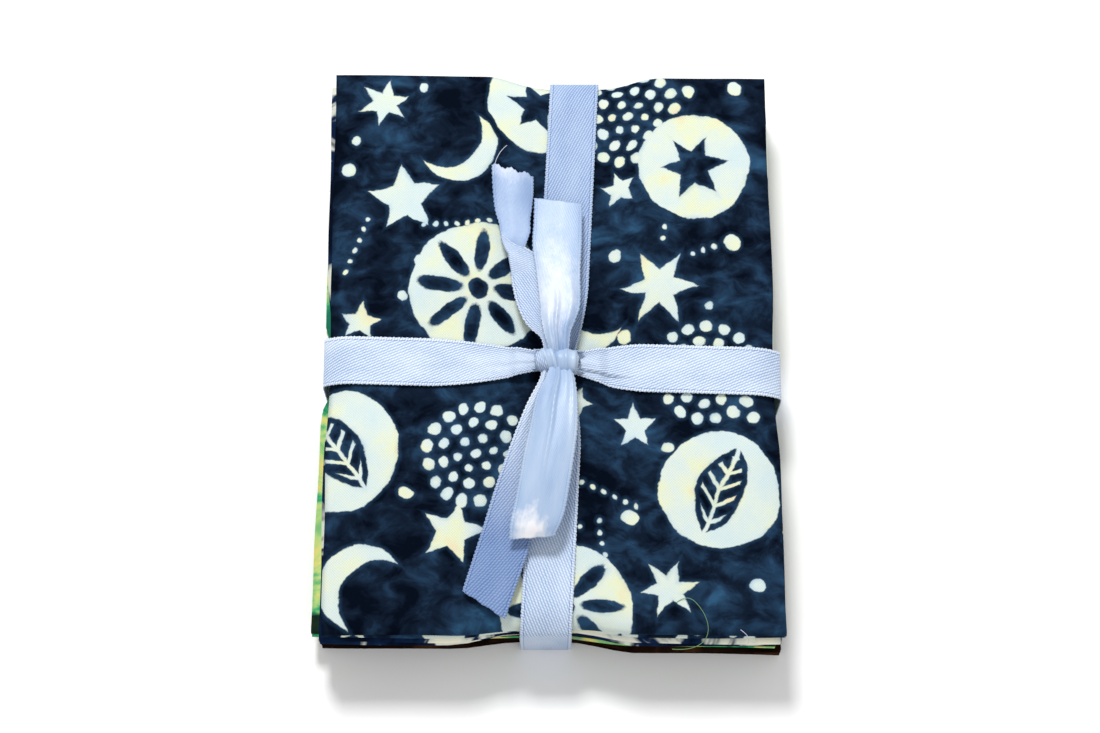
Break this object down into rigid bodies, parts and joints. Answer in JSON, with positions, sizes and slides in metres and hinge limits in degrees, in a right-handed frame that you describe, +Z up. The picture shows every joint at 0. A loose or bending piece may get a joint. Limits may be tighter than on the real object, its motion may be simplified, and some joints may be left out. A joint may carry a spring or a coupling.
{
  "type": "fat quarter bundle",
  "caption": "Folded cotton fat quarters stacked flat and tied crosswise with satin ribbon, its knot on top with four free ends.",
  "frame": {"origin": "on the surface that the bundle rests on, under the middle of its outline", "axes": "+X from the bundle's left to its right, +Y from its front to its back along its longer side, +Z up"},
  "size_m": [0.1166, 0.1498, 0.0311],
  "materials": {
    "star_print_cotton": "matte woven cotton, navy batik with cream figures",
    "navy_cream_cotton": "matte woven cotton, navy and cream batik",
    "green_cotton": "matte woven cotton, green, teal and yellow batik",
    "dark_brown_cotton": "matte woven cotton, dark brown batik",
    "satin_ribbon": "single-face satin with a fine twill back"
  },
  "bodies": {
    "root": {"fat_quarter_star_print": "star_print_cotton", "fat_quarter_navy_cream": "navy_cream_cotton", "fat_quarter_green": "green_cotton", "fat_quarter_dark_brown": "dark_brown_cotton", "ribbon_band_across": "satin_ribbon", "ribbon_band_along": "satin_ribbon", "ribbon_knot": "satin_ribbon", "ribbon_end_back_left": "satin_ribbon", "ribbon_end_back_right": "satin_ribbon", "ribbon_end_front_upper": "satin_ribbon", "ribbon_end_front_lower": "satin_ribbon"}
  },
  "joints": []
}
